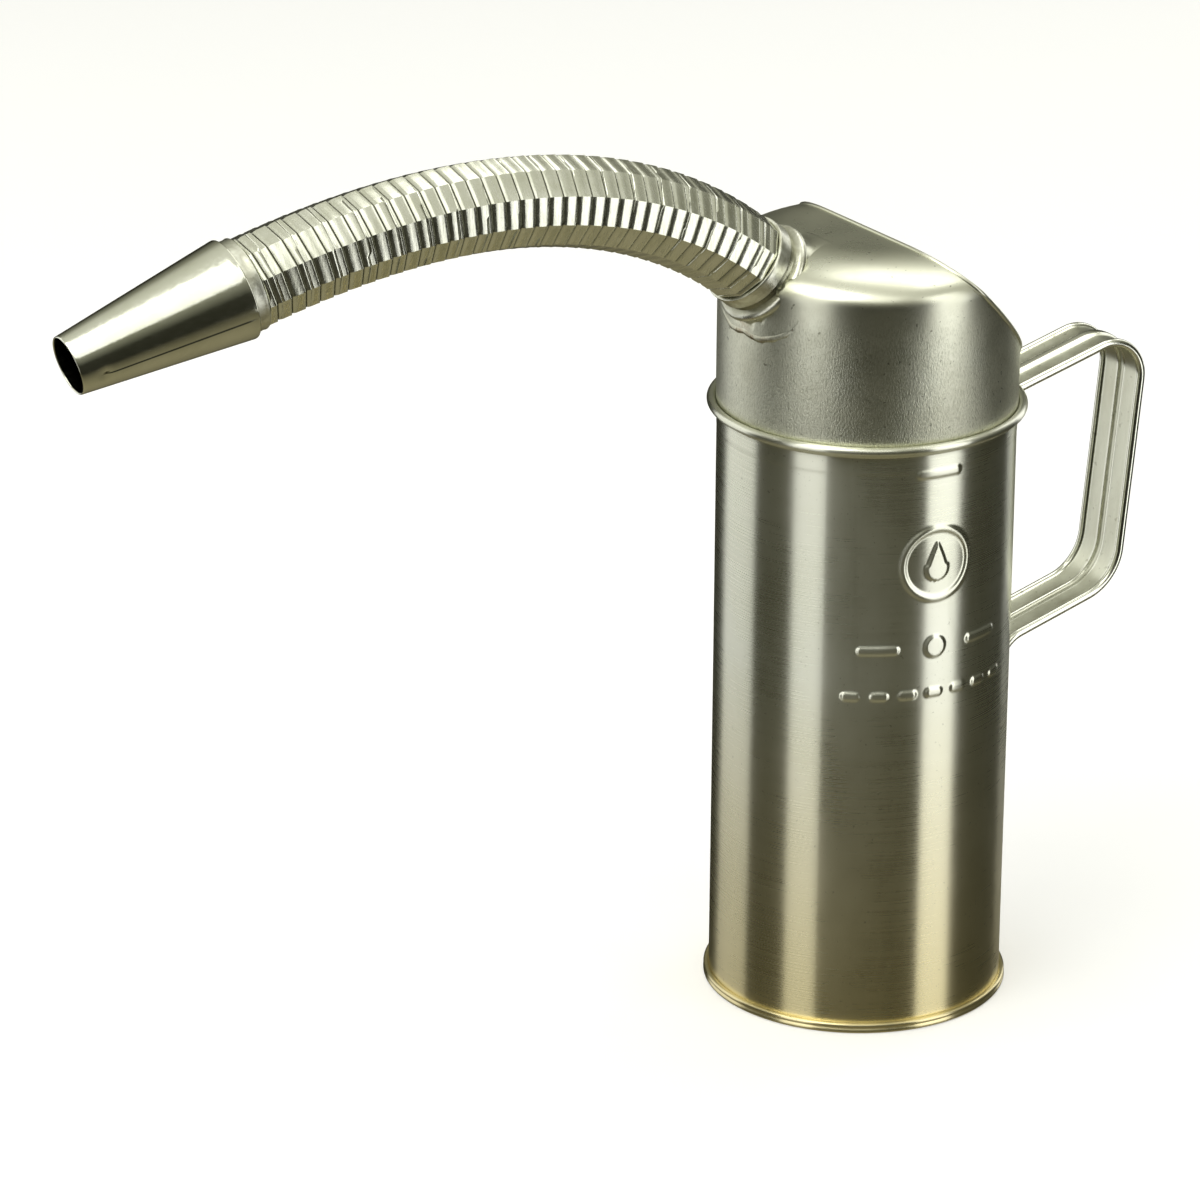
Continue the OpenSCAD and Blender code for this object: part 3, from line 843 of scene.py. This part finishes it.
def neck():
    """The neck's tube with its bead, and the tinned ring soldered on its mouth."""
    bead = NECK_BEAD_AT
    profile = [(11.6, -17), (NECK_R, -17), (NECK_R, bead - NECK_BEAD_HALF + 0.2)]
    profile += arc((NECK_BEAD_R - 1.5, bead), 1.5, -84, 84, 14)
    profile += [(NECK_R + 0.25, bead + 1.9), (NECK_R, bead + 2.4), (NECK_R, -0.9), (11.6, -0.9)]

    def uneven(turns, r, h):
        return 0.06 * waves(turns * 5, h / 2, 31) if r > NECK_R + 0.3 else 0.0

    tube = lathe("neck_tube", profile, "tin_neck", MOUTH, NECK_DIR, wobble=uneven)
    along = (np.array([v.co for v in tube.data.vertices]) / MM - MOUTH) @ NECK_DIR
    point_value(tube, "groove", 0.75 * smooth((along - bead - 1.2) / 0.6))
    finish_piece(tube, "can", "neck_collar")

    ring_profile = [(NECK_R, -6.6)]
    ring_profile += arc((13.0, -6.1), 0.45, 200, 110, 4)
    ring_profile += [(13.35, -5.2), (13.3, -3.4), (13.4, -1.6)]
    ring_profile += arc((13.1, -1.15), 0.3, 30, 90, 4)
    ring_profile += [(NECK_R, -0.85)]

    def smeared(turns, r, h):
        return 0.10 * waves(turns * 7, h, 41) if r > NECK_R + 0.1 else 0.0

    ring = lathe("neck_ring_tinned", ring_profile, "tin_neck", MOUTH, NECK_DIR, wobble=smeared)
    finish_piece(ring, "can", "neck_ring")


# ---- hose ----

PITCH = 4.43
HOSE_R = 12.93
CORNER_TURN = 2.4
SIDES = 10
PER_SIDE = 6
STRIP_START = 0.55
STRIP_SHEET = 0.6
HIDDEN_IN_NECK = 0.55
HIDDEN_IN_NOZZLE = 1.0
FACET_EDGE = 24
# (share of a turn, height) of the strip's surface, from the neck's side to the nozzle's side
STRIP = [(0.0, -0.62), (0.03, -0.20), (0.065, -0.02), (0.10, 0.02), (0.15, -0.03), (0.22, -0.06),
         (0.45, -0.07), (0.68, -0.09), (0.74, -0.13), (0.84, -0.26), (0.93, -0.42), (0.965, -0.62)]
# Share of shadow colour at the same places
GROOVE = [1, 0.55, 0.05, 0, 0, 0, 0, 0, 0, 0, 0.25, 1]


def hose_centre(s):
    """The hose's middle and heading at a length from its mouth, through every hinge."""
    if s < 0:
        return MOUTH + s * NECK_DIR, NECK_DIR
    if s > HOSE_LEN:
        return HOSE_END + (s - HOSE_LEN) * NOZZLE_DIR, NOZZLE_DIR
    k = min(int(s / LINK_LEN), len(LINKS) - 1)
    f = s / LINK_LEN - k
    p0, p1 = HINGES[k], HINGES[k + 1]

    def heading(i):
        if i == 0:
            return unit(NECK_DIR + unit(HINGES[1] - HINGES[0]))
        if i == len(LINKS):
            return NOZZLE_DIR
        return unit(HINGES[i + 1] - HINGES[i - 1])

    m0, m1 = heading(k) * LINK_LEN, heading(k + 1) * LINK_LEN
    at = ((2 * f ** 3 - 3 * f ** 2 + 1) * p0 + (f ** 3 - 2 * f ** 2 + f) * m0
          + (-2 * f ** 3 + 3 * f ** 2) * p1 + (f ** 3 - f ** 2) * m1)
    along = ((6 * f ** 2 - 6 * f) * p0 + (3 * f ** 2 - 4 * f + 1) * m0
             + (-6 * f ** 2 + 6 * f) * p1 + (3 * f ** 2 - 2 * f) * m1)
    return at, unit(along)


def side_radius(turn):
    """Radius of the ten-sided tube, with slightly rounded corners, for a turn in degrees."""
    half = 180.0 / SIDES
    off = (turn - CORNER_TURN) % (2 * half) - half
    flat = HOSE_R * math.cos(math.radians(half)) / math.cos(math.radians(off))
    return 1.008 * min(flat, HOSE_R * 0.996)


def hose_strip():
    """The whole wound strip as one mesh, cut afterwards into a piece for each joint."""
    per_turn = SIDES * PER_SIDE
    turns = math.ceil(HOSE_LEN / PITCH) + 1
    rows, grooves = [], []
    radii = [side_radius(CORNER_TURN + 360.0 * j / per_turn) for j in range(per_turn)]
    centre_cache = {}
    for n in range(-2, turns):
        for (share, lift), groove in zip(STRIP, GROOVE):
            for j in range(per_turn):
                s = STRIP_START + PITCH * (n + share + j / per_turn)
                key = round(s, 5)
                if key not in centre_cache:
                    at, along = hose_centre(s)
                    centre_cache[key] = (at, *axes_for(along))
                at, side, up = centre_cache[key]
                turn = math.radians(CORNER_TURN + 360.0 * j / per_turn)
                # Turns run from the bottom by the camera's side (-Y) to the top
                r = radii[j] + lift
                rows.append(at - r * (math.sin(turn) * side + math.cos(turn) * up))
                grooves.append(groove)
    count = len(rows) // per_turn
    faces = []
    step = len(STRIP)
    for i in range(count - 1):
        for j in range(per_turn):
            a, d = i * per_turn + j, (i + 1) * per_turn + j
            if j < per_turn - 1:
                b, c = a + 1, d + 1
            else:
                if i + 1 + step >= count:
                    continue
                b, c = (i + step) * per_turn, (i + 1 + step) * per_turn
            faces.append((a, b, c, d))
    obj = make_object("hose_whole", rows, faces, "hose_strip", None)
    point_value(obj, "groove", grooves)
    bm = bmesh.new()
    bm.from_mesh(obj.data)
    bmesh.ops.dissolve_degenerate(bm, edges=bm.edges, dist=WELD_M)
    bmesh.ops.remove_doubles(bm, verts=bm.verts, dist=WELD_M)
    bmesh.ops.recalc_face_normals(bm, faces=bm.faces)
    bm.to_mesh(obj.data)
    bm.free()
    return obj


def link_middle(k):
    """Middle of link k, from 0, and its heading."""
    return (HINGES[k] + HINGES[k + 1]) / 2, unit(HINGES[k + 1] - HINGES[k])


def slice_of(source, name, low, high):
    """The part of a mesh between two planes, each a point and a normal along the hose."""
    bm = bmesh.new()
    bm.from_mesh(source.data)
    for plane, keep_above in ((low, True), (high, False)):
        at, normal = Vector(plane[0]) * MM, Vector(plane[1])
        geom = list(bm.verts) + list(bm.edges) + list(bm.faces)
        bmesh.ops.bisect_plane(bm, geom=geom, dist=1e-8, plane_co=at, plane_no=normal,
                               clear_inner=keep_above, clear_outer=not keep_above)
    mesh = bpy.data.meshes.new(name)
    bm.to_mesh(mesh)
    bm.free()
    obj = place(name, mesh)
    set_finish(obj, "hose_strip")
    mesh.shade_smooth()
    mesh.set_sharp_from_angle(angle=math.radians(FACET_EDGE))
    return obj


def hose():
    """The strip in pieces from link's middle to link's middle, each spanning one joint."""
    whole = hose_strip()
    for k in range(len(LINKS)):
        low = link_middle(k - 1) if k else (MOUTH - HIDDEN_IN_NECK * NECK_DIR, NECK_DIR)
        high = link_middle(k)
        piece = slice_of(whole, "hose_turns_%02d" % (k + 1), low, high)
        thicken(piece, STRIP_SHEET)
        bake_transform(piece)
        finish_piece(piece, None, LINKS[k - 1] if k else LINKS[-1])
    count = len(LINKS)
    end = (HOSE_END - HIDDEN_IN_NOZZLE * NOZZLE_DIR, NOZZLE_DIR)
    last = slice_of(whole, "hose_turns_%02d" % (count + 1), link_middle(count - 1), end)
    thicken(last, STRIP_SHEET)
    finish_piece(last, LINK_BODIES[-1], LINKS[-2])
    bpy.data.objects.remove(whole)


# ---- nozzle ----

RING_SHOWN = 2.8
CONE_WIDE_R = 14.3
CONE_TIP_R = 8.4


def nozzle():
    """The ring soldered to the hose's end, and the cone with a lapped seam."""
    profile = [(11.9, 6.6), (13.1, 6.6), (13.15, 3.0), (13.2, 2.0), (13.1, 0.3)]
    profile += arc((12.95, -0.35), 0.3, 0, -90, 4)
    profile += [(11.9, -0.75)]

    def smeared(turns, r, h):
        return 0.09 * waves(turns * 8, h, 51) if r > 12.5 else 0.0

    ring = lathe("nozzle_ring_tinned", profile, "tin_neck", HOSE_END, NOZZLE_DIR, wobble=smeared)
    finish_piece(ring, LINK_BODIES[-1], "nozzle_ring")

    z0 = RING_SHOWN
    z1 = NOZZLE_LEN
    wide = z0 + 1.0
    outline = [(13.25, z0 + 0.5)] + arc((CONE_WIDE_R - 0.42, z0 + 0.55), 0.42, -90, 20, 6)
    heights = np.linspace(wide, z1 - 0.3, 46)
    outline += [(cone_radius(h), h) for h in heights]
    outline += arc((CONE_TIP_R - 0.22, z1 - 0.24), 0.24, 0, 180, 6)
    inner = [(cone_radius(h) - SHEET, h) for h in heights[::-4]]
    outline += inner + [(13.25, wide + 0.8)]
    seam_turn = math.radians(-163)

    def lap(turns, r, h):
        off = (turns - seam_turn + math.pi) % (2 * math.pi) - math.pi
        height = 0.16 * smooth((off + 0.018) / 0.03) * smooth(1 - off / 0.55)
        fade = smooth((z1 - 6 - h) / 2) * smooth((h - wide) / 2)
        dimple = 0.35 * np.exp(-(off * 8 / 1.6) ** 2) * math.exp(-((h - (z1 - 6.5)) / 1.3) ** 2)
        unevenness = 0.03 * waves(turns * 3, h / 9, 61)
        outside = 1.0 if r > cone_radius(h) - 0.1 else 0.0
        return outside * (height * fade - dimple) + unevenness

    cone = lathe("nozzle_cone_lapped", outline, "tin_nozzle", HOSE_END, NOZZLE_DIR, steps=480,
                 wobble=lap)
    rel = np.array([v.co for v in cone.data.vertices]) / MM - HOSE_END
    t = rel @ NOZZLE_DIR
    r = np.linalg.norm(rel - np.outer(t, NOZZLE_DIR), axis=1)
    limit = np.array([cone_radius(h) for h in t])
    point_value(cone, "groove", (r < limit - 0.3) & (t < z1 - 0.4))
    finish_piece(cone, LINK_BODIES[-1], "nozzle_cone")


def cone_radius(h):
    """The cone's outside radius at a height along the nozzle."""
    share = (h - RING_SHOWN - 0.8) / (NOZZLE_LEN - RING_SHOWN - 0.8)
    return CONE_WIDE_R + (CONE_TIP_R - CONE_WIDE_R) * min(max(share, 0.0), 1.0)


# ---- handle ----

STRAP_X = CAN_R + 0.7
STRAP_HALF = 10.0
STRAP_EDGE_R = 1.25
STRAP_BENDS = [0, 10, 15, 12, 4, 0]


def strap_corners():
    """Corners of the strap's middle line in the plane of the handle, from the lower foot up."""
    lower, reach, lean, drop = 97.7, 43.1, 6.8, 2.6
    low_slope, high_slope = math.tan(math.radians(15)), math.tan(math.radians(14))
    upper = CAN_TOP_Z - drop
    grip_x = CAN_R + reach
    grip_z = lower + (grip_x - STRAP_X) * low_slope
    rate = lean / (upper - grip_z)
    top_x = (grip_x + rate * (upper - grip_z - STRAP_X * high_slope)) / (1 - rate * high_slope)
    top_z = upper + (top_x - STRAP_X) * high_slope
    return [(STRAP_X, lower - 18), (STRAP_X, lower), (grip_x, grip_z), (top_x, top_z),
            (STRAP_X, upper), (STRAP_X, upper - 18)]


def rounded_path(points, radii, step=0.8):
    """Stations (x, z, heading) along corners rounded with the given radii."""
    points = [np.array(p, float) for p in points]
    stations, trims = [], [0.0]
    for i in range(1, len(points) - 1):
        a, b = unit(points[i] - points[i - 1]), unit(points[i + 1] - points[i])
        turn = math.atan2(a[0] * b[1] - a[1] * b[0], a @ b)
        trims.append(radii[i] * math.tan(abs(turn) / 2))
    trims.append(0.0)
    for i in range(len(points) - 1):
        d = unit(points[i + 1] - points[i])
        heading = math.atan2(d[1], d[0])
        start, end = points[i] + trims[i] * d, points[i + 1] - trims[i + 1] * d
        count = max(int(np.linalg.norm(end - start) / 2.0), 1)
        for f in np.linspace(0, 1, count, endpoint=False):
            q = start + f * (end - start)
            stations.append((q[0], q[1], heading))
        if i + 1 < len(points) - 1:
            nxt = unit(points[i + 2] - points[i + 1])
            turn = math.atan2(d[0] * nxt[1] - d[1] * nxt[0], d @ nxt)
            side = 1 if turn > 0 else -1
            centre = end + radii[i + 1] * side * np.array([-d[1], d[0]])
            arc_steps = max(int(radii[i + 1] * abs(turn) / step), 4)
            for f in np.linspace(0, 1, arc_steps, endpoint=False):
                h = heading + turn * f
                q = centre + radii[i + 1] * side * np.array([math.sin(h), -math.cos(h)])
                stations.append((q[0], q[1], h))
    stations.append((points[-1][0], points[-1][1], heading))
    return stations


def strap_outline():
    """The strap's section: (across, outwards, edge share). Rolled edges, a raised middle rib. The edge share is
    where the handle gets a painted highlight and a smoother finish.
    """
    half_t = 0.4
    middle = STRAP_HALF - STRAP_EDGE_R
    right = []
    for x, y in arc((0, 0), STRAP_EDGE_R, -160, 160, 22):
        right.append((middle + x, y, 1.0))
    outer = [(7.1, 0.46, 0.4), (6.6, half_t, 0.0), (4.0, half_t, 0.0), (2.6, half_t, 0.0),
             (2.2, 0.5, 0.2), (1.7, 0.95, 0.6), (1.2, 1.16, 0.8), (0.6, 1.2, 0.8)]
    inner = [(0.55, -0.05, 0.0), (0.8, -0.2, 0.2), (1.15, -0.42, 0.7), (1.5, -0.5, 0.8),
             (1.9, -0.42, 0.4), (2.3, -half_t, 0.0), (4.0, -half_t, 0.0), (6.6, -half_t, 0.0),
             (7.1, -0.46, 0.4)]
    top = outer + [(-x, y, e) for x, y, e in outer[::-1]]
    left = [(-x, y, e) for x, y, e in right[::-1]]
    bottom = [(-x, y, e) for x, y, e in inner[::-1]] + inner
    return right + top + left + bottom


def handle():
    """The handle: a strap with rolled edges, bent to its shape."""
    section = strap_outline()
    verts, edge = [], []
    stations = rounded_path(strap_corners(), STRAP_BENDS)
    for n, (x, z, h) in enumerate(stations):
        out_x, out_z = math.sin(h), -math.cos(h)
        for across, out, share in section:
            out = out + 0.02 * math.sin(n * 0.35 + across)
            verts.append((x + out * out_x, across, z + out * out_z))
            edge.append(share)
    n, m = len(stations), len(section)
    faces = grid_faces(n, m, False, True)
    faces.append(tuple(range(m)))
    faces.append(tuple((n - 1) * m + j for j in range(m)))
    obj = make_object("handle_rolled_strap", verts, faces, "tin_handle", 50)
    face_outwards(obj)
    # The edge share: where the handle's metal paints a highlight on the rolled edges and the rib
    point_value(obj, "edge", edge)
    finish_piece(obj, "can", "handle_strap")


# ---- the pieces ----

body_wall()
side_seam()
base()
hood()
hem()
neck_flare()
neck()
hose()
nozzle()
handle()
KEPT = {
    "base_solder": "solder", "rim_wire": "steel_wire", "hood_solder": "solder",
    "nozzle_solder": "solder", "handle_solder_lower": "solder", "handle_solder_upper": "solder",
}
for node_name, metal in KEPT.items():
    NODES[node_name].data.materials.clear()
    NODES[node_name].data.materials.append(METALS[metal])


# ---- floor, light and camera ----


def floor():
    """A plain pale floor: one large disc."""
    steps, size = 96, 6.0
    turns = [2 * math.pi * i / steps for i in range(steps)]
    ring = [(size * math.cos(a), size * math.sin(a), 0) for a in turns]
    mesh = bpy.data.meshes.new("floor")
    mesh.from_pydata(ring, [], [tuple(range(steps))])
    obj = place("floor", mesh)
    pale = bpy.data.materials.new("floor_pale")
    pale.use_nodes = True
    shader = pale.node_tree.nodes["Principled BSDF"]
    for key, setting in (("Base Color", (0.80, 0.80, 0.79, 1)), ("Roughness", 0.7),
                         ("Emission Color", (1, 1, 0.99, 1)), ("Emission Strength", 0.30)):
        shader.inputs[key].default_value = setting
    mesh.materials.append(pale)
    # The metal mirrors the studio's dark surround in place of the pale floor
    obj.visible_glossy = False
    obj.visible_shadow = False


AIM = Vector((-0.02, 0, 0.13))
VIEW = -36.0
# Name, azimuth, elevation, distance, width, height and power of each lamp
SOFTBOXES = (
    ("key_left", VIEW - 42, 8, 1.5, 0.70, 2.1, 5.2),
    ("strip_right", VIEW + 63, 8, 1.4, 0.72, 2.1, 7.4),
    ("rear_left", VIEW - 112, 8, 1.6, 1.30, 2.1, 8.0),
    ("front_top", VIEW - 12, 52, 1.6, 1.5, 0.8, 3.6),
    ("rear_right", VIEW + 142, 14, 1.6, 0.6, 1.6, 4.0),
    ("top_left", VIEW - 50, 58, 1.6, 1.2, 0.9, 8.0),
    ("top_back", VIEW + 150, 66, 1.6, 1.2, 0.7, 4.5),
)
# The surround that the metal mirrors, from straight down (0) to straight up (1)
SURROUND = ((0.0, (0.30, 0.27, 0.17)), (0.30, (0.022, 0.022, 0.015)), (0.55, (0.03, 0.03, 0.021)),
            (0.75, (0.24, 0.24, 0.19)), (0.86, (0.55, 0.55, 0.48)), (1.0, (0.75, 0.75, 0.68)))
BACKGROUND = (0.86, 0.86, 0.85, 1)


def softbox(name, azimuth, elevation, distance, width, height, power):
    """A rectangular lamp. Azimuth 0 is towards -Y and 90 towards +X, seen from the object."""
    a, e = math.radians(azimuth), math.radians(elevation)
    towards = Vector((math.sin(a) * math.cos(e), -math.cos(a) * math.cos(e), math.sin(e)))
    lamp = bpy.data.lights.new(name, "AREA")
    lamp.shape = "RECTANGLE"
    lamp.size, lamp.size_y = width, height
    lamp.energy = power
    obj = place(name, lamp)
    obj.location = AIM + towards * distance
    obj.rotation_euler = (-towards).to_track_quat("-Z", "Y").to_euler()


def lights():
    """Soft lamps, and a world that the metal mirrors as dark and the camera sees as pale."""
    for box in SOFTBOXES:
        softbox(*box)
    world = bpy.data.worlds.new("studio")
    world.use_nodes = True
    tree = world.node_tree
    background = tree.nodes["Background"]
    coords = tree.nodes.new("ShaderNodeTexCoord")
    split = tree.nodes.new("ShaderNodeSeparateXYZ")
    ramp = tree.nodes.new("ShaderNodeValToRGB")
    half = tree.nodes.new("ShaderNodeMapRange")
    half.inputs["From Min"].default_value = -1.0
    tree.links.new(coords.outputs["Generated"], split.inputs["Vector"])
    tree.links.new(split.outputs["Z"], half.inputs["Value"])
    tree.links.new(half.outputs["Result"], ramp.inputs["Fac"])
    stops = ramp.color_ramp.elements
    for position, colour in SURROUND[1:-1]:
        stops.new(position).color = (*colour, 1)
    for end in (0, -1):
        stops[end].color = (*SURROUND[end][1], 1)
    seen = tree.nodes.new("ShaderNodeBackground")
    seen.inputs["Color"].default_value = BACKGROUND
    ray = tree.nodes.new("ShaderNodeLightPath")
    either = tree.nodes.new("ShaderNodeMixShader")
    tree.links.new(ramp.outputs["Color"], background.inputs["Color"])
    tree.links.new(ray.outputs["Is Camera Ray"], either.inputs["Fac"])
    tree.links.new(background.outputs["Background"], either.inputs[1])
    tree.links.new(seen.outputs["Background"], either.inputs[2])
    tree.links.new(either.outputs["Shader"], tree.nodes["World Output"].inputs["Surface"])
    bpy.context.scene.world = world


def camera():
    """A long lens, 36 degrees round from the front towards the spout and 21 degrees up."""
    turn = math.radians(36.06)
    yaw, pitch, roll = -0.0467, 0.3743, 0.0072
    spot = np.array([0.0, -1.628, 0.756])
    level = math.cos(pitch)
    ahead = np.array([math.sin(yaw) * level, math.cos(yaw) * level, -math.sin(pitch)])
    right = np.array([math.cos(yaw), -math.sin(yaw), 0.0])
    up = np.cross(right, ahead)
    right, up = (math.cos(roll) * right + math.sin(roll) * up,
                 -math.sin(roll) * right + math.cos(roll) * up)
    c, s = math.cos(turn), math.sin(turn)
    spin = np.array([[c, s, 0], [-s, c, 0], [0, 0, 1]])
    spot, right, up, ahead = (spin @ v for v in (spot, right, up, ahead))
    data = bpy.data.cameras.new("camera")
    data.sensor_width = 36
    data.lens = 180.8
    data.clip_start, data.clip_end = 0.05, 30
    obj = place("camera", data)
    rows = [[right[i], up[i], -ahead[i], spot[i]] for i in range(3)]
    obj.matrix_world = Matrix(rows + [[0, 0, 0, 1]])
    bpy.context.scene.camera = obj


floor()
lights()
camera()
bpy.context.scene.view_settings.view_transform = "Standard"
